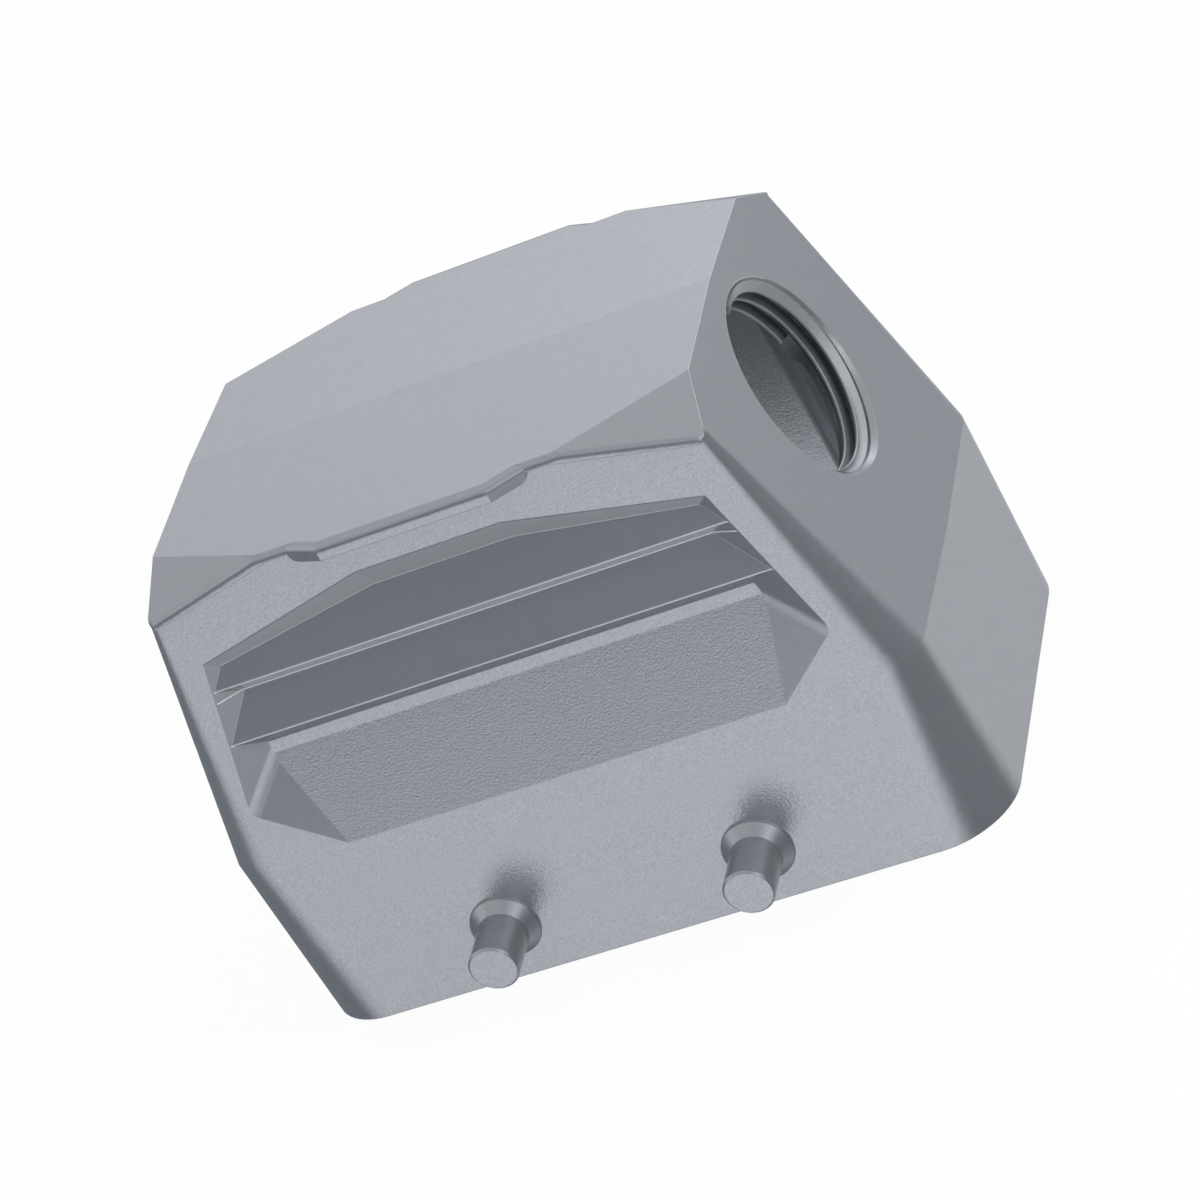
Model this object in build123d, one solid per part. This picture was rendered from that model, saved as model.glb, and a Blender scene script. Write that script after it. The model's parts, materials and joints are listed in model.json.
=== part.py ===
"""Heavy-duty connector hood: a die-cast cover with a side cable entry and four locking pegs.

Millimetres. The origin is the middle of the mouth, on the rim plane. +Z runs up to the roof,
+X towards the cable entry, -Y towards the front. The front and the rear are mirror images
about the plane Y = 0, where the two halves of the casting die part.
"""
import math
import os

from build123d import *

# Rim and side walls
rim_length = 73.0
rim_width = 44.0
rim_corner_radius = 7.1
side_draft = 1.35
wall = 3.0

# Belt, the level where the upright ends turn and lean in
belt_height = 19.7
belt_length = 72.4
belt_corner_radius = 4.2
end_fold = 0.3

# Roof, and its corners a little lower down
roof_height = 51.4
roof_fold = 0.4
roof_corner_width = 29.5
lip_corner_drop = 3.6
lip_corner_length = 57.7
lip_corner_radius = 1.0

# Hollow inside
roof_wall = 3.4
cavity_rim_corner_radius = 4.0
cavity_ceiling_corner_radius = 1.8
cavity_ceiling_chamfer = 1.0

# Lip along the front and rear of the roof, rounded over its whole thickness
lip_width = 42.3
lip_shoulder_length = 28.8
lip_thickness = 1.0
lip_corner_thickness = 0.7
lip_end_chamfer = 0.8
lip_end_radius = 0.8
lip_edge_radius = 0.9

# Brow, the deeper block that stands out in the middle of the lip
brow_width = 45.8
brow_length = 17.5
brow_root_length = 24.6
brow_thickness = 1.8
brow_corner_radius = 0.8

# Louvred grip panel on the front and rear. It stands on the belt, and the shares divide its height
grip_top_drop = 4.95
grip_top_length = 15.0
grip_shoulder_share = 0.849
grip_shoulder_length = 52.1
grip_waist_share = 0.224
grip_waist_length = 60.7
grip_base_length = 45.8
grip_corner_radius = 1.4
grip_overrun = 0.2

# Louvres: run is how far an edge of the recess is drawn in for each millimetre of depth
grip_upper_ridge_share = 0.729
grip_lower_ridge_share = 0.508
grip_louvre_slope = 0.25
grip_depth = 1.6
grip_band = 1.35
grip_ridge_sink = 0.12
grip_ridge_radius = 0.2
grip_brow_run = 1.85
grip_flank_run = 2.1
grip_foot_run = 4.1

# Threaded cable entry
entry_drop = 11.9
entry_radius = 10.0
entry_chamfer = 0.4
entry_pad_radius = 13.0
entry_wall = 4.2

# Locking pegs
peg_pitch = 26.7
peg_height = 5.9
peg_radius = 2.45
peg_reach = 6.2
peg_foot_radius = 3.45
peg_shank_radius = 2.0
peg_shank_length = 4.4
peg_tip_chamfer = 0.2
peg_seat_proud = 0.1
peg_pad_radius = 4.4
peg_pad_cover = 1.2

# Bosses for the screws of the contact insert
insert_pitch_x = 57.0
insert_pitch_y = 27.0
insert_seat_depth = 11.0
insert_boss_radius = 4.0
insert_screw_radius = 1.65
insert_screw_depth = 11.0

# Extra material or cut beyond a face that is trimmed or opened afterwards
allowance = 1.0

lip_corner_height = roof_height - lip_corner_drop
cavity_ceiling = roof_height - roof_wall
entry_height = roof_height - entry_drop
side_slope = math.tan(math.radians(side_draft))
end_slope = (belt_length - lip_corner_length) / 2 / (lip_corner_height - belt_height)
stock_top = roof_height + roof_fold + allowance


def half_width(height):
    """Half of the hood's width across its drafted side walls."""
    return rim_width / 2 - height * side_slope


def half_length(height):
    """Half of the hood's length at the corners, at or above the belt."""
    return belt_length / 2 - (height - belt_height) * end_slope


def both_sides(front):
    """The front form together with its mirror image at the rear."""
    return front + mirror(front, about=Plane.XZ)


def half_section(height, half_x, half_y, radius, fold):
    """Front half of a level cut through the hood, its ends folded out at the parting plane."""
    bend = radius * (1 - math.sqrt(0.5))
    left_low = (-half_x, -half_y + radius)
    left_high = (-half_x + radius, -half_y)
    right_high = (half_x - radius, -half_y)
    right_low = (half_x, -half_y + radius)
    outline = [
        Line((-half_x - fold, 0), left_low),
        ThreePointArc(left_low, (-half_x + bend, -half_y + bend), left_high),
        Line(left_high, right_high),
        ThreePointArc(right_high, (half_x - bend, -half_y + bend), right_low),
        Line(right_low, (half_x + fold, 0)),
        Line((half_x + fold, 0), (-half_x - fold, 0)),
    ]
    return Pos(0, 0, height) * make_face(outline)


def belt_section():
    """Level cut at the belt, where the hood is at its fullest."""
    return half_section(belt_height, belt_length / 2, half_width(belt_height), belt_corner_radius, end_fold)


def skirt():
    """Upright lower part of the shell, from the rim to the belt."""
    rim = half_section(0, rim_length / 2, half_width(0), rim_corner_radius, 0)
    return loft([rim, belt_section()], ruled=True)


def shoulders():
    """Upper part of the shell, where both ends lean in and the corner rounds run out."""
    fold = end_fold * (stock_top - lip_corner_height) / (stock_top - belt_height)
    corner = half_section(lip_corner_height, half_length(lip_corner_height), half_width(lip_corner_height),
                          lip_corner_radius, fold)
    top = half_section(stock_top, half_length(stock_top), half_width(stock_top), lip_corner_radius, 0)
    return loft([belt_section(), corner], ruled=True) + loft([corner, top], ruled=True)


def lip_plan():
    """Lip seen from above, with the brow in its middle and its two ends chamfered."""
    end = half_length(lip_corner_height - lip_corner_thickness)
    corners = [
        (brow_length / 2, -brow_width / 2),
        (brow_root_length / 2, -lip_width / 2),
        (end - lip_end_chamfer, -lip_width / 2),
        (end, -lip_width / 2 + lip_end_chamfer),
        (end, 0),
    ]
    mirrored = [(-x, y) for x, y in reversed(corners)]
    return make_face(Polyline(*corners, *mirrored, close=True))


def lip_front():
    """Lip seen from the front: it falls to the corners, and the brow reaches down in the middle."""
    under = roof_height - lip_thickness
    foot = roof_height - brow_thickness
    corner = lip_corner_height - lip_corner_thickness
    corners = [
        (half_length(stock_top), stock_top),
        (half_length(corner), corner),
        (lip_shoulder_length / 2, under),
    ]
    mirrored = [(-x, z) for x, z in reversed(corners)]
    fall = make_face(Polyline(*corners, *mirrored, close=True))
    fall = fillet(fall.vertices().group_by(Axis.Y)[0], lip_end_radius)
    brow = Pos(0, foot) * Rectangle(brow_root_length, stock_top - foot, align=(Align.CENTER, Align.MIN))
    brow = fillet(brow.vertices().group_by(Axis.Y)[0], brow_corner_radius)
    return Plane.XZ * (fall + brow)


def lip(cut):
    """Lip with its brow, its outer edge rounded over to the roof."""
    foot = lip_corner_height - brow_thickness
    body = extrude(Pos(0, 0, foot) * lip_plan(), stock_top - foot) - cut
    outer = [face for face in body.faces() if face.normal_at().Y < -0.5 and abs(face.normal_at().Z) < 0.1]
    upper = [face for face in body.faces() if face.normal_at().Z > 0.5]
    outer_edges = ShapeList(edge for face in outer for edge in face.edges())
    upper_edges = ShapeList(edge for face in upper for edge in face.edges())
    return fillet(upper_edges & outer_edges, lip_edge_radius) & extrude(lip_front(), brow_width)


def above_roof():
    """All that lies above the front slope of the roof and its two corner facets."""
    fall = roof_fold / (roof_corner_width / 2)
    far = brow_width / 2 + allowance
    over = Polyline(
        (0, roof_height + roof_fold),
        (-far, roof_height + roof_fold - fall * far),
        (-far, stock_top + allowance),
        (0, stock_top + allowance),
        close=True,
    )
    cut = extrude(make_face(Plane.YZ * over), rim_length / 2, both=True)
    for side in (-1, 1):
        roof_corner = Vector(side * half_length(roof_height), -roof_corner_width / 2, roof_height)
        lip_corner = Vector(side * half_length(lip_corner_height), -lip_width / 2, lip_corner_height)
        shoulder_drop = fall * (lip_width - roof_corner_width) / 2
        shoulder = Vector(side * lip_shoulder_length / 2, -lip_width / 2, roof_height - shoulder_drop)
        normal = (shoulder - roof_corner).cross(lip_corner - roof_corner) * side
        facet = Plane(origin=roof_corner, z_dir=normal if normal.Z > 0 else -normal)
        cut += facet * Box(rim_length, rim_length, rim_width, align=(Align.CENTER, Align.CENTER, Align.MIN))
    return cut


def side_plane():
    """Frame on the front wall: X along the hood, Y up the wall from the rim, Z out of it."""
    lean = math.radians(side_draft)
    return Plane(origin=(0, -rim_width / 2, 0), x_dir=(1, 0, 0), z_dir=(0, -math.cos(lean), math.sin(lean)))


def end_plane():
    """Frame on the leaning entry end, at the middle of the cable entry, Z out of the hood."""
    lean = math.atan(end_slope)
    fold = end_fold * (stock_top - entry_height) / (stock_top - belt_height)
    return Plane(
        origin=(half_length(entry_height) + fold, 0, entry_height),
        x_dir=(0, 1, 0),
        z_dir=(math.cos(lean), 0, math.sin(lean)),
    )


def grip_level(share):
    """Height of a level of the grip panel, from its base at 0 to its top at 1."""
    return belt_height + share * (roof_height - grip_top_drop - belt_height)


def drawn_in(before, corner, after, first, second):
    """Corner of a clockwise outline once the edges before and after it have moved inwards."""
    inward = (corner - before).normalized().rotate(Axis.Z, -90)
    onward = (after - corner).normalized().rotate(Axis.Z, -90)
    share = inward.dot(onward)
    spread = 1 - share ** 2
    return corner + inward * ((first - second * share) / spread) + onward * ((second - first * share) / spread)


def grip_outline(depth):
    """Outline of the grip panel at a depth below the wall, each edge drawn in by its own run."""
    top = Vector(grip_top_length / 2, grip_level(1))
    shoulder = Vector(grip_shoulder_length / 2, grip_level(grip_shoulder_share))
    waist = Vector(grip_waist_length / 2, grip_level(grip_waist_share))
    base = Vector(grip_base_length / 2, grip_level(0))
    base += (base - waist) * grip_overrun
    brow, flank, foot = depth * grip_brow_run, depth * grip_flank_run, depth * grip_foot_run
    corners = [
        drawn_in(Vector(-top.X, top.Y), top, shoulder, brow, brow),
        drawn_in(top, shoulder, waist, brow, flank),
        drawn_in(shoulder, waist, base, flank, foot),
        drawn_in(waist, base, Vector(-base.X, base.Y), foot, foot),
    ]
    mirrored = [Vector(-corner.X, corner.Y) for corner in reversed(corners)]
    outline = make_face(Polyline(*corners, *mirrored, close=True))
    columns = outline.vertices().group_by(Axis.X)
    return Pos(0, 0, -depth) * fillet(columns[0] + columns[-1], grip_corner_radius)


def grip_louvres():
    """Saw-tooth body: every louvre falls away upwards from its ridge and is undercut at 45 degrees."""
    top = grip_level(1) + allowance
    upper = grip_level(grip_upper_ridge_share)
    lower = grip_level(grip_lower_ridge_share)
    valley = (upper + grip_louvre_slope * lower) / (1 + grip_louvre_slope)
    band = lower + grip_ridge_sink - grip_depth
    profile = Polyline(
        (top, -grip_ridge_sink - grip_louvre_slope * (top - upper)),
        (upper, -grip_ridge_sink),
        (valley, valley - upper - grip_ridge_sink),
        (lower, -grip_ridge_sink),
        (band, -grip_depth),
        (band - grip_band, -grip_depth),
        (belt_height, 0),
        (belt_height - allowance, allowance),
        (top, allowance),
        close=True,
    )
    section = make_face(profile)
    bends = [vertex for vertex in section.vertices() if belt_height < vertex.X < grip_level(1)]
    section = fillet(bends, grip_ridge_radius)
    return extrude(Plane.YZ * section, rim_length / 2, both=True)


def grip_recess():
    """Louvred recess that gives the fingers a hold."""
    bowl = loft([grip_outline(0), grip_outline(grip_depth + grip_ridge_radius)], ruled=True)
    bowl += extrude(grip_outline(0), allowance)
    return side_plane() * (bowl & grip_louvres())


def cavity_level(height, half_x):
    """Level cut through the hollow at a height, with its corners rounded."""
    share = height / cavity_ceiling
    radius = cavity_rim_corner_radius + (cavity_ceiling_corner_radius - cavity_rim_corner_radius) * share
    outline = Rectangle(2 * half_x, 2 * (half_width(height) - wall))
    return Pos(0, 0, height) * fillet(outline.vertices(), radius)


def cavity():
    """Hollow inside the hood, open at the rim."""
    slant_wall = wall * math.sqrt(1 + end_slope ** 2)
    rim = cavity_level(0, rim_length / 2 - wall)
    belt = cavity_level(belt_height, belt_length / 2 - wall)
    ceiling = cavity_level(cavity_ceiling, half_length(cavity_ceiling) - slant_wall)
    hollow = loft([rim, belt], ruled=True) + loft([belt, ceiling], ruled=True)
    return chamfer(hollow.faces().sort_by(Axis.Z)[-1].edges(), cavity_ceiling_chamfer)


def entry_pad():
    """Round pad inside that gives the cable entry its full length of thread."""
    return end_plane() * Cylinder(entry_pad_radius, entry_wall, align=(Align.CENTER, Align.CENTER, Align.MAX))


def entry_bore():
    """Bore of the cable entry at the thread's full size, with a small lead-in."""
    depth = 2 * entry_wall
    bore = Pos(0, 0, -depth) * Cylinder(entry_radius, 2 * depth, align=(Align.CENTER, Align.CENTER, Align.MIN))
    lead = Cone(entry_radius, entry_radius + entry_chamfer * 2, entry_chamfer * 2)
    return end_plane() * (bore + lead)


def peg_planes():
    """Frame of each peg by name: its origin is on the peg's seat and Z points out of the hood."""
    seat = half_width(peg_height - peg_foot_radius) + peg_seat_proud
    places = {}
    for side_name, side in (("left", -1), ("right", 1)):
        for face_name, face in (("front", -1), ("rear", 1)):
            origin = (side * peg_pitch / 2, face * seat, peg_height)
            places[f"peg_{face_name}_{side_name}"] = Plane(origin=origin, x_dir=(1, 0, 0), z_dir=(0, face, 0))
    return places


def peg_seats():
    """Flat seats on the drafted wall, with the pads inside that hold the pressed shanks."""
    inward = (Align.CENTER, Align.CENTER, Align.MAX)
    seat = Cylinder(peg_foot_radius, wall, align=inward)
    pad_depth = peg_shank_length + peg_pad_cover
    pad = Pos(0, 0, -wall / 2) * Cylinder(peg_pad_radius, pad_depth - wall / 2, align=inward)
    return [plane * (seat + pad) for plane in peg_planes().values()]


def peg_bores():
    """Blind bores for the shanks of the pegs."""
    bore = Cylinder(peg_shank_radius, peg_shank_length, align=(Align.CENTER, Align.CENTER, Align.MAX))
    return [plane * bore for plane in peg_planes().values()]


def peg():
    """Turned peg with a plain pin, a conical foot and the shank that is pressed into the wall."""
    foot = peg_foot_radius - peg_radius
    profile = Polyline(
        (0, -peg_shank_length),
        (peg_shank_radius, -peg_shank_length),
        (peg_shank_radius, 0),
        (peg_foot_radius, 0),
        (peg_radius, foot),
        (peg_radius, peg_reach - peg_tip_chamfer),
        (peg_radius - peg_tip_chamfer, peg_reach),
        (0, peg_reach),
        close=True,
    )
    return revolve(make_face(Plane.XZ * profile), Axis.Z)


def insert_posts():
    """Corner posts inside that carry the screws of the contact insert."""
    depth = cavity_ceiling - insert_seat_depth
    posts = []
    for x_side in (-1, 1):
        for y_side in (-1, 1):
            place = Pos(x_side * insert_pitch_x / 2, y_side * insert_pitch_y / 2, insert_seat_depth)
            reach = (rim_length - insert_pitch_x) / 2
            upward = (Align.CENTER, Align.CENTER, Align.MIN)
            column = Cylinder(insert_boss_radius, depth, align=upward)
            corner = Pos(x_side * reach / 2, y_side * reach / 2, 0)
            web_x = Pos(x_side * reach / 2, 0, 0) * Box(reach, 2 * insert_boss_radius, depth, align=upward)
            web_y = Pos(0, y_side * reach / 2, 0) * Box(2 * insert_boss_radius, reach, depth, align=upward)
            fill = corner * Box(reach, reach, depth, align=upward)
            posts.append(place * (column + web_x + web_y + fill))
    return posts


def insert_screw_holes():
    """Blind tapped holes in the corner posts, at the size of the tapping drill."""
    hole = Cylinder(insert_screw_radius, insert_screw_depth, align=(Align.CENTER, Align.CENTER, Align.MIN))
    pattern = GridLocations(insert_pitch_x, insert_pitch_y, 2, 2)
    return [Pos(0, 0, insert_seat_depth) * place * hole for place in pattern]


def outer_form():
    """Solid outer form of the casting, before it is hollowed."""
    cut = above_roof()
    front = skirt() + shoulders() - cut + lip(cut) - grip_recess()
    return both_sides(front)


def hood_casting():
    """The die casting as one piece."""
    outside = outer_form()
    hollow = cavity()
    hollow -= entry_pad()
    for post in insert_posts():
        hollow -= post
    for seat in peg_seats():
        outside += seat
        hollow -= seat
    body = outside - hollow - entry_bore()
    for cut in peg_bores() + insert_screw_holes():
        body -= cut
    return body


os.makedirs("parts", exist_ok=True)
export_step(hood_casting(), "parts/hood_casting.step")
for name, plane in peg_planes().items():
    export_step(plane * peg(), f"parts/{name}.step")
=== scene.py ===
"""Look of the heavy-duty connector hood: coat, cable-entry thread, studio and camera."""

import json
import math

import bpy
from mathutils import Matrix, Quaternion, Vector


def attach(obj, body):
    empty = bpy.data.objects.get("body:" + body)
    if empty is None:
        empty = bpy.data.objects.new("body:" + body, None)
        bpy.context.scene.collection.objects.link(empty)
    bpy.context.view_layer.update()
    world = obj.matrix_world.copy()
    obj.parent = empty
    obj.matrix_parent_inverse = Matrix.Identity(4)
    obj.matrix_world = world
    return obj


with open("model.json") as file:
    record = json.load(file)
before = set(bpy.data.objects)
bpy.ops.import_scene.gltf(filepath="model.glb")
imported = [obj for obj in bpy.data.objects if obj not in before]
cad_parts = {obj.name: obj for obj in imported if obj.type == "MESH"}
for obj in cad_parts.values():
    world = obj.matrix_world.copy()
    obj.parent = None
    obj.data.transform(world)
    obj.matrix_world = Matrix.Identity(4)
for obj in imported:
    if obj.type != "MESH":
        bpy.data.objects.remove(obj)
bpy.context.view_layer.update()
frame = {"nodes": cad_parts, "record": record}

MM = 0.001

# Cable entry, as in the CAD
ENTRY = next(m for m in frame["record"]["mounts"] if m["name"] == "cable_entry")
ENTRY_AXIS = Vector(ENTRY["axis"])
ENTRY_RADIUS = ENTRY["dims"]["r_mm"] * MM
ENTRY_LENGTH = ENTRY["dims"]["length_mm"] * MM

# Thread: its foot sinks into the bore's wall and leaves a small gap to the next turn. It starts
# near the bore's inner end, and the run-out is how much shorter than the bore it is
THREAD_PITCH = 1.5 * MM
THREAD_DEPTH = 0.81 * MM
THREAD_CREST = 0.19 * MM
THREAD_SINK = 0.02 * MM
THREAD_GAP = 0.02 * MM
THREAD_START = 0.05 * MM
THREAD_RUNOUT = 0.4 * MM
THREAD_STEPS = 96

# Coat in the thread: painted shade between the turns, the coat's plain tone on the crest and on the flank
# nearest the outside.
# The bands say how far from the crest and from the bore's outer end the plain coat fades in
THREAD_PAINTED_SHADE_TONES = ((0.15, 0.16, 0.175, 1.0), (0.18, 0.19, 0.205, 1.0))
THREAD_LIGHT_TONES = ((0.5, 0.512, 0.53, 1.0), (0.54, 0.55, 0.57, 1.0))
CREST_BAND = (0.14 * MM, 0.04 * MM)
OUTER_BAND = (1.0 * MM, 0.6 * MM)

# Coat: two tones for smooth faces, two for the speckled upright ones, and one pale tone and metalness for
# the painted highlights
COAT_TONES = ((0.50, 0.512, 0.53, 1.0), (0.52, 0.532, 0.55, 1.0))
SPECKLE_TONES = ((0.475, 0.487, 0.505, 1.0), (0.545, 0.557, 0.575, 1.0))
PAINTED_HIGHLIGHT_TONE = (0.78, 0.79, 0.8, 1.0)
ROUGHNESS_TONES = ((0.21, 0.21, 0.21, 1.0), (0.25, 0.25, 0.25, 1.0))
COAT_METAL = 0.85
PAINTED_HIGHLIGHT_METAL = 0.15
PEEL_HEIGHT = 0.034 * MM
LEAST_PEEL = 0.2
UPRIGHT_BAND = (0.975, 0.99)
EDGE_RADIUS = 0.11 * MM
EDGE_SAMPLES = 6

# Noise of the coat's tone, grain and gloss: scale, detail and roughness, and the band that the colours span
TONE_NOISE = (900.0, 3.0, 0.55)
PEEL_NOISE = (4800.0, 2.0, 0.5)
GLOSS_NOISE = (1500.0, 2.0, 0.5)
NOISE_BAND = (0.3, 0.7)

# Grip recess: the wall's half width at the rim and its slope, and the box that the recess lies in
WALL_HALF_WIDTH = 22.0 * MM
WALL_SLOPE = 0.02357
RECESS_EDGE = (0.05 * MM, 0.11 * MM)
RECESS_DEPTH = 1.9 * MM
RECESS_HALF_LENGTH = 28.9 * MM
RECESS_BOTTOM = 31.9 * MM
RECESS_TOP = 46.4 * MM

# Painted highlights in the recess: along the louvres' ridges and valley, in its inner corners and on its
# brow, which faces down, though less than the louvres' undercuts do
RIDGE_HEIGHTS = (39.14 * MM, 38.0 * MM, 33.23 * MM)
RIDGE_BAND = (0.112 * MM, 0.048 * MM)
CORNER_LEAN = (0.995, 0.96)
LENGTHWAYS_BAND = (0.13, 0.09)
BROW_FROM = (-0.3, -0.4)
BROW_TO = (-0.65, -0.55)
BROW_HIGHLIGHT_SHARE = 0.32

# Painted highlight on the end edges of the roof, over the cable entry and opposite it
ROOF_EDGE_BOTTOM = 46.0 * MM
ROOF_EDGE_HALF_WIDTH = 20.0 * MM
ROOF_EDGE_HIGHLIGHT_SHARE = 0.6

# Camera: where it looks, from where, and how far it is rolled
CAMERA_TARGET = Vector((4.576, -5.393, 26.817)) * MM
CAMERA_EYE = Vector((172.628, -353.842, 225.731)) * MM
CAMERA_ROLL = 30.77
CAMERA_LENS = 139.83
SENSOR = 36.0

# Lamps and floor
STUDIO_MIDDLE = (0.0, 0.0, 0.03)
KEY_POWER = 1.5
FILL_POWER = 1.0
ENTRY_POWER = 0.1
INSIDE_POWER = 0.003
FLOOR_SIZE = 4.0
FLOOR_DROP = 0.2 * MM
FLOOR_WHITE = 0.95

# Dome: its tint where bright and where dim, its front and right-hand ways, and where back blends
# into front, left into right, and the two sides into front and back
DOME_TINT = (0.955, 0.98, 1.03)
SHADE_TINT = (0.86, 1.06, 1.22)
BRIGHT_WAY = (-0.259, -0.966, 0.0)
RIGHT_WAY = (0.966, -0.259, 0.0)
WAY_BLEND = (-0.3, 0.3)
SIDE_BLEND = (0.54, 0.91)

# The dome's brightness each way by height, from straight down at 0 to straight up at 1
FRONT_BRIGHTNESS = [
    (0.0, 1.4),
    (0.1, 1.3),
    (0.18, 1.12),
    (0.253, 1.03),
    (0.291, 0.87),
    (0.35, 0.78),
    (0.4, 0.67),
    (0.45, 0.27),
    (0.6, 0.15),
    (0.72, 0.4),
    (1.0, 0.58),
]
BACK_BRIGHTNESS = [
    (0.0, 0.7),
    (0.2, 0.66),
    (0.3, 0.54),
    (0.385, 0.35),
    (0.44, 0.57),
    (0.52, 0.42),
    (0.6, 0.6),
    (0.7, 1.3),
    (0.82, 0.62),
    (1.0, 0.58),
]
LEFT_BRIGHTNESS = [
    (0.0, 0.26),
    (0.2, 0.19),
    (0.4, 0.22),
    (0.5, 0.16),
    (0.6, 0.42),
    (0.69, 0.71),
    (0.78, 0.65),
    (0.86, 0.5),
    (1.0, 0.58),
]
RIGHT_BRIGHTNESS = [
    (0.0, 0.4),
    (0.2, 0.15),
    (0.32, 0.13),
    (0.42, 0.18),
    (0.5, 0.18),
    (0.6, 0.5),
    (0.69, 0.9),
    (0.78, 0.72),
    (0.86, 0.42),
    (1.0, 0.58),
]


def socket(node, name, value):
    """Set one input of a node to a plain value."""
    node.inputs[name].default_value = value


def feed(tree, node, values):
    """Give a node's inputs, in their order, a link or a plain value each."""
    for index, value in enumerate(values):
        if isinstance(value, bpy.types.NodeSocket):
            tree.links.new(value, node.inputs[index])
        else:
            node.inputs[index].default_value = value


def new_material(name):
    """A material with an empty node tree, its tree and its principled shader."""
    material = bpy.data.materials.new(name)
    material.use_nodes = True
    tree = material.node_tree
    tree.nodes.clear()
    shader = tree.nodes.new("ShaderNodeBsdfPrincipled")
    output = tree.nodes.new("ShaderNodeOutputMaterial")
    tree.links.new(shader.outputs["BSDF"], output.inputs["Surface"])
    return material, tree, shader


def math_node(tree, operation, *values):
    """Result of a math node, each value a link or a number."""
    node = tree.nodes.new("ShaderNodeMath")
    node.operation = operation
    feed(tree, node, values)
    return node.outputs["Value"]


def vector_math(tree, operation, *values):
    """Node of a vector operation, each value a link or a fixed vector."""
    node = tree.nodes.new("ShaderNodeVectorMath")
    node.operation = operation
    feed(tree, node, values)
    return node


def axis_parts(tree, vector):
    """The X, Y and Z parts of a vector."""
    node = tree.nodes.new("ShaderNodeSeparateXYZ")
    tree.links.new(vector, node.inputs["Vector"])
    return node.outputs


def product(tree, factors):
    """All the given shares multiplied together."""
    result = factors[0]
    for factor in factors[1:]:
        result = math_node(tree, "MULTIPLY", result, factor)
    return result


def map_range(tree, source, band):
    """Smooth step from 0 at the band's first value to 1 at its second."""
    node = tree.nodes.new("ShaderNodeMapRange")
    node.interpolation_type = "SMOOTHSTEP"
    socket(node, "From Min", band[0])
    socket(node, "From Max", band[1])
    tree.links.new(source, node.inputs["Value"])
    return node.outputs["Result"]


def noise(tree, coordinates, kind):
    """Strength of a noise texture at the object's own coordinates."""
    scale, detail, rough = kind
    node = tree.nodes.new("ShaderNodeTexNoise")
    socket(node, "Scale", scale)
    socket(node, "Detail", detail)
    socket(node, "Roughness", rough)
    tree.links.new(coordinates, node.inputs["Vector"])
    return node.outputs["Fac"]


def tone_ramp(tree, source, tones):
    """Colour between two tones, by the strength of a noise."""
    node = tree.nodes.new("ShaderNodeValToRGB")
    for element, position, tone in zip(node.color_ramp.elements, NOISE_BAND, tones):
        element.position = position
        element.color = tone
    tree.links.new(source, node.inputs["Fac"])
    return node.outputs["Color"]


def blend_colours(tree, share, first, second):
    """Colour between two colours."""
    node = tree.nodes.new("ShaderNodeMix")
    node.data_type = "RGBA"
    tree.links.new(share, node.inputs["Factor"])
    tree.links.new(first, node.inputs[6])
    tree.links.new(second, node.inputs[7])
    return node.outputs[2]


def blend_shaders(tree, share, first, second):
    """Shader between two shaders."""
    node = tree.nodes.new("ShaderNodeMixShader")
    tree.links.new(share, node.inputs["Fac"])
    tree.links.new(first, node.inputs[1])
    tree.links.new(second, node.inputs[2])
    return node.outputs["Shader"]


def bump(tree, height, distance, normal):
    """Normal bent by a height, over the given normal."""
    node = tree.nodes.new("ShaderNodeBump")
    socket(node, "Strength", 1.0)
    socket(node, "Distance", distance)
    tree.links.new(height, node.inputs["Height"])
    tree.links.new(normal, node.inputs["Normal"])
    return node.outputs["Normal"]


def recess_share(tree, along, across, height):
    """1 inside the grip recess and 0 elsewhere, from the object's own coordinates."""
    wall = math_node(tree, "MULTIPLY_ADD", height, -WALL_SLOPE, WALL_HALF_WIDTH)
    depth = math_node(tree, "SUBTRACT", wall, across)
    return product(tree, [
        map_range(tree, depth, RECESS_EDGE),
        math_node(tree, "LESS_THAN", depth, RECESS_DEPTH),
        math_node(tree, "LESS_THAN", along, RECESS_HALF_LENGTH),
        math_node(tree, "GREATER_THAN", height, RECESS_BOTTOM),
        math_node(tree, "LESS_THAN", height, RECESS_TOP),
    ])


def ridge_highlight_share(tree, height):
    """Painted highlight lines along the louvres' ridges and the valley between them."""
    share = 0.0
    for ridge in RIDGE_HEIGHTS:
        gap = math_node(tree, "ABSOLUTE", math_node(tree, "SUBTRACT", height, ridge))
        share = math_node(tree, "MAXIMUM", share, map_range(tree, gap, RIDGE_BAND))
    return share


def facing(tree, normal, axis):
    """How far a normal leans along an axis, either way counted alike."""
    return math_node(tree, "ABSOLUTE", axis_parts(tree, normal)[axis])


def brow_highlight_share(tree, normal):
    """Painted highlight share on faces that face down as steeply as the brow of the recess."""
    down = axis_parts(tree, normal)["Z"]
    return product(tree, [map_range(tree, down, BROW_FROM), map_range(tree, down, BROW_TO), BROW_HIGHLIGHT_SHARE])


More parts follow.
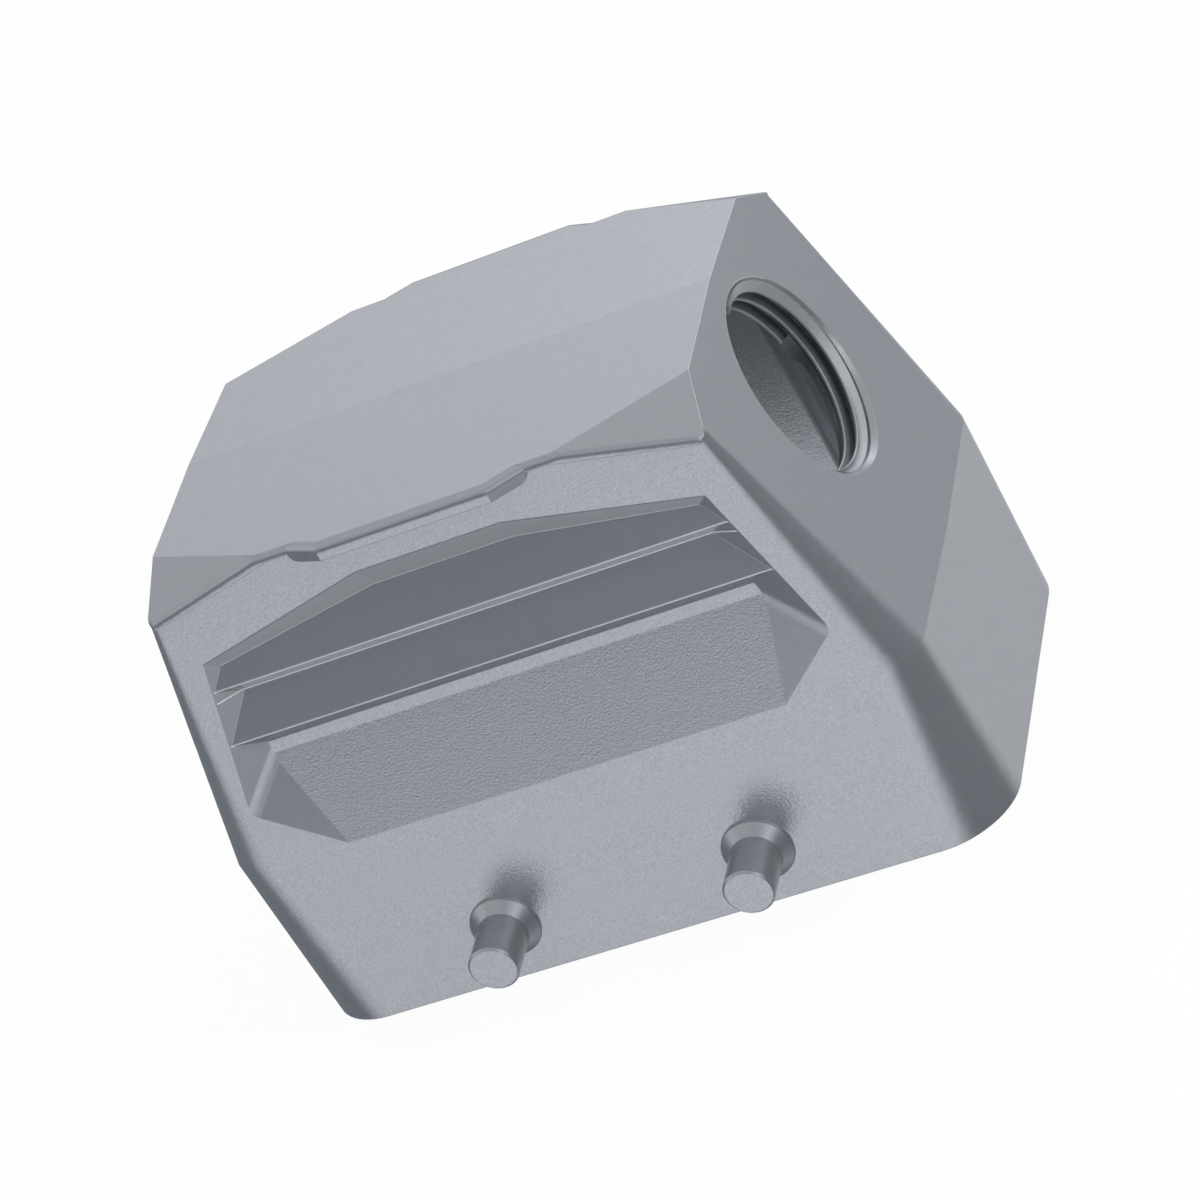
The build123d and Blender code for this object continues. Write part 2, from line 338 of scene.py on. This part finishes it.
def painted_highlight_share(tree, coordinates, normal, rounded):
    """Painted highlights: lines, inner corners and brow of the grip recess, and the roof's end edges."""
    parts = axis_parts(tree, coordinates)
    along = math_node(tree, "ABSOLUTE", parts["X"])
    across = math_node(tree, "ABSOLUTE", parts["Y"])
    height = parts["Z"]
    lean = vector_math(tree, "DOT_PRODUCT", rounded, normal).outputs["Value"]
    corner = map_range(tree, lean, CORNER_LEAN)
    lengthways = map_range(tree, facing(tree, rounded, "X"), LENGTHWAYS_BAND)
    inner_corner_highlight = product(tree, [corner, lengthways])
    inside = math_node(tree, "MAXIMUM", ridge_highlight_share(tree, height), inner_corner_highlight)
    inside = math_node(tree, "MAXIMUM", inside, brow_highlight_share(tree, normal))
    inside = product(tree, [inside, recess_share(tree, along, across, height)])
    roof_edge_highlight = product(tree, [
        corner,
        math_node(tree, "GREATER_THAN", height, ROOF_EDGE_BOTTOM),
        math_node(tree, "LESS_THAN", across, ROOF_EDGE_HALF_WIDTH),
        ROOF_EDGE_HIGHLIGHT_SHARE,
    ])
    return math_node(tree, "MAXIMUM", inside, roof_edge_highlight)


def coat_material():
    """Grey powder coat with a fine orange-peel surface, and painted highlights in the grip recess and on
    the roof's end edges.
    """
    material, tree, shader = new_material("grey_powder_coat_with_painted_highlights")
    coordinates = tree.nodes.new("ShaderNodeTexCoord").outputs["Object"]
    normal = tree.nodes.new("ShaderNodeNewGeometry").outputs["Normal"]
    edge = tree.nodes.new("ShaderNodeBevel")
    edge.samples = EDGE_SAMPLES
    socket(edge, "Radius", EDGE_RADIUS)
    rounded = edge.outputs["Normal"]
    # painted highlight: a pale, less metallic coat on the recess lines, inner corners and brow and on the
    # roof's end edges
    bright = painted_highlight_share(tree, coordinates, normal, rounded)
    metal = math_node(tree, "MULTIPLY_ADD", bright, PAINTED_HIGHLIGHT_METAL - COAT_METAL, COAT_METAL)
    tree.links.new(metal, shader.inputs["Metallic"])
    socket(shader, "Coat Weight", 0.1)
    socket(shader, "Coat Roughness", 0.3)
    upright = map_range(tree, facing(tree, normal, "Y"), UPRIGHT_BAND)
    smooth = tone_ramp(tree, noise(tree, coordinates, TONE_NOISE), COAT_TONES)
    peel = noise(tree, coordinates, PEEL_NOISE)
    speckled = tone_ramp(tree, peel, SPECKLE_TONES)
    colour = blend_colours(tree, upright, smooth, speckled)
    painted_highlight_colour = tree.nodes.new("ShaderNodeRGB").outputs["Color"]
    painted_highlight_colour.default_value = PAINTED_HIGHLIGHT_TONE
    tree.links.new(blend_colours(tree, bright, colour, painted_highlight_colour), shader.inputs["Base Color"])
    rough = tone_ramp(tree, noise(tree, coordinates, GLOSS_NOISE), ROUGHNESS_TONES)
    tree.links.new(rough, shader.inputs["Roughness"])
    grain = math_node(tree, "MULTIPLY_ADD", upright, 1.0 - LEAST_PEEL, LEAST_PEEL)
    height = math_node(tree, "MULTIPLY", peel, grain)
    tree.links.new(bump(tree, height, PEEL_HEIGHT, rounded), shader.inputs["Normal"])
    return material


def thread_material():
    """Coat in the cable entry's thread: painted shade between the turns, the coat's plain tone along the
    crest and at the outer end.
    """
    material, tree, shader = new_material("grey_coat_with_painted_shade_in_thread")
    coordinates = tree.nodes.new("ShaderNodeTexCoord").outputs["Object"]
    centred = vector_math(tree, "SUBTRACT", coordinates, ENTRY["pos_m"]).outputs["Vector"]
    across = vector_math(tree, "CROSS_PRODUCT", centred, ENTRY_AXIS).outputs["Vector"]
    radius = vector_math(tree, "LENGTH", across).outputs["Value"]
    outward = vector_math(tree, "DOT_PRODUCT", centred, ENTRY_AXIS).outputs["Value"]
    inner = ENTRY_RADIUS - THREAD_DEPTH
    crest = map_range(tree, radius, [inner + reach for reach in CREST_BAND])
    outermost = map_range(tree, outward, [ENTRY_LENGTH / 2 - reach for reach in OUTER_BAND])
    share = math_node(tree, "MAXIMUM", crest, outermost)
    tone = noise(tree, coordinates, TONE_NOISE)
    # painted shade: a dark tone over the whole thread except its crest and its outer end
    painted_shade = tone_ramp(tree, tone, THREAD_PAINTED_SHADE_TONES)
    light = tone_ramp(tree, tone, THREAD_LIGHT_TONES)
    tree.links.new(blend_colours(tree, share, painted_shade, light), shader.inputs["Base Color"])
    socket(shader, "Metallic", 0.7)
    socket(shader, "Roughness", 0.35)
    return material


def paint_nodes(material, names):
    """Give CAD nodes their material."""
    for name in names:
        node = frame["nodes"][name]
        node.data.materials.clear()
        node.data.materials.append(material)


def thread_section():
    """Cross-section of the thread's ridge as one flat face, X being the distance from the bore's axis."""
    foot = THREAD_PITCH / 2 - THREAD_GAP
    crest = THREAD_CREST / 2
    outer = ENTRY_RADIUS + THREAD_SINK
    inner = ENTRY_RADIUS - THREAD_DEPTH
    middle = (outer + inner) / 2
    bpy.ops.mesh.primitive_plane_add(size=1.0)
    section = bpy.context.object
    corners = [(outer, -foot), (outer, foot), (inner, crest), (inner, -crest)]
    corners.sort(key=lambda corner: math.atan2(corner[1], corner[0] - middle))
    vertices = sorted(section.data.vertices, key=lambda vertex: math.atan2(vertex.co.y, vertex.co.x))
    for vertex, (radius, along) in zip(vertices, corners):
        vertex.co = (radius, 0.0, along)
    return section


def entry_thread(material):
    """Internal thread of the cable entry, a helical ridge wound along the bore."""
    ridge = thread_section()
    ridge.name = "entry_thread"
    turns = (ENTRY_LENGTH - THREAD_RUNOUT) / THREAD_PITCH
    screw = ridge.modifiers.new("wind", "SCREW")
    screw.axis = "Z"
    screw.angle = 2 * math.pi * turns
    screw.screw_offset = THREAD_PITCH * turns
    screw.steps = int(THREAD_STEPS * turns)
    screw.render_steps = screw.steps
    screw.use_normal_calculate = True
    bpy.ops.object.modifier_apply(modifier=screw.name)
    bpy.ops.object.mode_set(mode="EDIT")
    bpy.ops.mesh.select_all(action="SELECT")
    bpy.ops.mesh.fill_holes(sides=4)
    bpy.ops.mesh.select_all(action="SELECT")
    bpy.ops.mesh.normals_make_consistent(inside=False)
    bpy.ops.object.mode_set(mode="OBJECT")
    turn = ENTRY_AXIS.to_track_quat("Z", "Y").to_matrix().to_4x4()
    start = Vector(ENTRY["pos_m"]) - ENTRY_AXIS * (ENTRY_LENGTH / 2 - THREAD_START)
    ridge.data.transform(Matrix.Translation(start) @ turn)
    ridge.data.materials.append(material)
    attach(ridge, "root")


def floor():
    """Pale floor: nearly white to the camera with the hood's soft shadow, and unseen in reflections."""
    bpy.ops.mesh.primitive_plane_add(size=FLOOR_SIZE, location=(0.0, 0.0, -FLOOR_DROP))
    plane = bpy.context.object
    plane.name = "studio_floor"
    plane.visible_glossy = False
    material, tree, shader = new_material("studio_floor")
    socket(shader, "Base Color", (0.9, 0.9, 0.9, 1.0))
    socket(shader, "Roughness", 0.9)
    white = tree.nodes.new("ShaderNodeEmission")
    socket(white, "Color", (1.0, 1.0, 1.0, 1.0))
    path = tree.nodes.new("ShaderNodeLightPath")
    share = math_node(tree, "MULTIPLY", path.outputs["Is Camera Ray"], FLOOR_WHITE)
    surface = blend_shaders(tree, share, shader.outputs["BSDF"], white.outputs["Emission"])
    tree.links.new(surface, tree.nodes["Material Output"].inputs["Surface"])
    plane.data.materials.append(material)


def area_light(name, place, target, size, power):
    """Square area lamp aimed at a point, unseen in reflections."""
    lamp = bpy.data.lights.new(name, "AREA")
    lamp.shape = "SQUARE"
    lamp.size = size
    lamp.energy = power
    item = bpy.data.objects.new(name, lamp)
    bpy.context.scene.collection.objects.link(item)
    item.location = place
    aim = Vector(target) - Vector(place)
    item.rotation_euler = aim.to_track_quat("-Z", "Y").to_euler()
    item.visible_glossy = False


def lamps():
    """Two soft boxes over the hood, a small one at the cable entry and a faint one in the cavity."""
    entry = Vector(ENTRY["pos_m"])
    by_entry = entry + Vector((0.13, -0.05, 0.06))
    in_cavity = (-0.012, -0.014, 0.03)
    cavity_wall = (0.022, 0.019, 0.03)
    area_light("key", (-0.35, -0.25, 0.75), STUDIO_MIDDLE, size=0.6, power=KEY_POWER)
    area_light("fill", (0.5, 0.35, 0.55), STUDIO_MIDDLE, size=0.5, power=FILL_POWER)
    area_light("entry_light", by_entry, entry, size=0.04, power=ENTRY_POWER)
    area_light("inside_light", in_cavity, cavity_wall, size=0.01, power=INSIDE_POWER)


def brightness_ramp(tree, height, stops):
    """Dome colour by height, from the stops' brightness, with the shade's tint where it is dim."""
    upward = math_node(tree, "MULTIPLY_ADD", height, 0.5, 0.5)
    node = tree.nodes.new("ShaderNodeValToRGB")
    elements = node.color_ramp.elements
    elements[0].position = stops[0][0]
    elements[1].position = stops[-1][0]
    for position, _ in stops[1:-1]:
        elements.new(position)
    for element, (_, level) in zip(elements, stops):
        share = min(2.0 * level, 1.0)
        tint = [shade + (part - shade) * share for part, shade in zip(DOME_TINT, SHADE_TINT)]
        element.color = tuple(level * part for part in tint) + (1.0,)
    tree.links.new(upward, node.inputs["Fac"])
    return node.outputs["Color"]


def direction_share(tree, way, direction):
    """How far the dome's direction points one level way, from -1 to 1."""
    return vector_math(tree, "DOT_PRODUCT", way, direction).outputs["Value"]


def studio_dome(tree):
    """Soft studio all round: bright in front and behind, darker at the sides and at eye level."""
    way = tree.nodes.new("ShaderNodeTexCoord").outputs["Generated"]
    height = axis_parts(tree, way)["Z"]
    forward = direction_share(tree, way, BRIGHT_WAY)
    sideways = direction_share(tree, way, RIGHT_WAY)
    front = brightness_ramp(tree, height, FRONT_BRIGHTNESS)
    back = brightness_ramp(tree, height, BACK_BRIGHTNESS)
    left = brightness_ramp(tree, height, LEFT_BRIGHTNESS)
    right = brightness_ramp(tree, height, RIGHT_BRIGHTNESS)
    ends = blend_colours(tree, map_range(tree, forward, WAY_BLEND), back, front)
    sides = blend_colours(tree, map_range(tree, sideways, WAY_BLEND), left, right)
    share = map_range(tree, math_node(tree, "ABSOLUTE", forward), SIDE_BLEND)
    return blend_colours(tree, share, sides, ends)


def studio():
    """The dome as the world's light, with plain white for the camera."""
    world = bpy.data.worlds.new("studio_world")
    bpy.context.scene.world = world
    world.use_nodes = True
    tree = world.node_tree
    tree.nodes.clear()
    dome = tree.nodes.new("ShaderNodeBackground")
    tree.links.new(studio_dome(tree), dome.inputs["Color"])
    white = tree.nodes.new("ShaderNodeBackground")
    socket(white, "Color", (1.0, 1.0, 1.0, 1.0))
    share = tree.nodes.new("ShaderNodeLightPath").outputs["Is Camera Ray"]
    surface = blend_shaders(tree, share, dome.outputs["Background"], white.outputs["Background"])
    output = tree.nodes.new("ShaderNodeOutputWorld")
    tree.links.new(surface, output.inputs["Surface"])


def camera():
    """Camera at the photograph's angle, rolled as the photograph is."""
    data = bpy.data.cameras.new("camera")
    data.sensor_width = SENSOR
    data.sensor_height = SENSOR
    data.sensor_fit = "HORIZONTAL"
    data.lens = CAMERA_LENS
    data.clip_start = 0.01
    data.clip_end = 20.0
    item = bpy.data.objects.new("camera", data)
    bpy.context.scene.collection.objects.link(item)
    item.location = CAMERA_EYE
    aim = (CAMERA_TARGET - CAMERA_EYE).to_track_quat("-Z", "Y")
    roll = Quaternion((0.0, 0.0, 1.0), math.radians(-CAMERA_ROLL))
    item.rotation_euler = (aim @ roll).to_euler()
    bpy.context.scene.camera = item


coat = coat_material()
paint_nodes(coat, frame["nodes"])
entry_thread(thread_material())
floor()
lamps()
studio()
camera()
bpy.context.scene.view_settings.view_transform = "Standard"
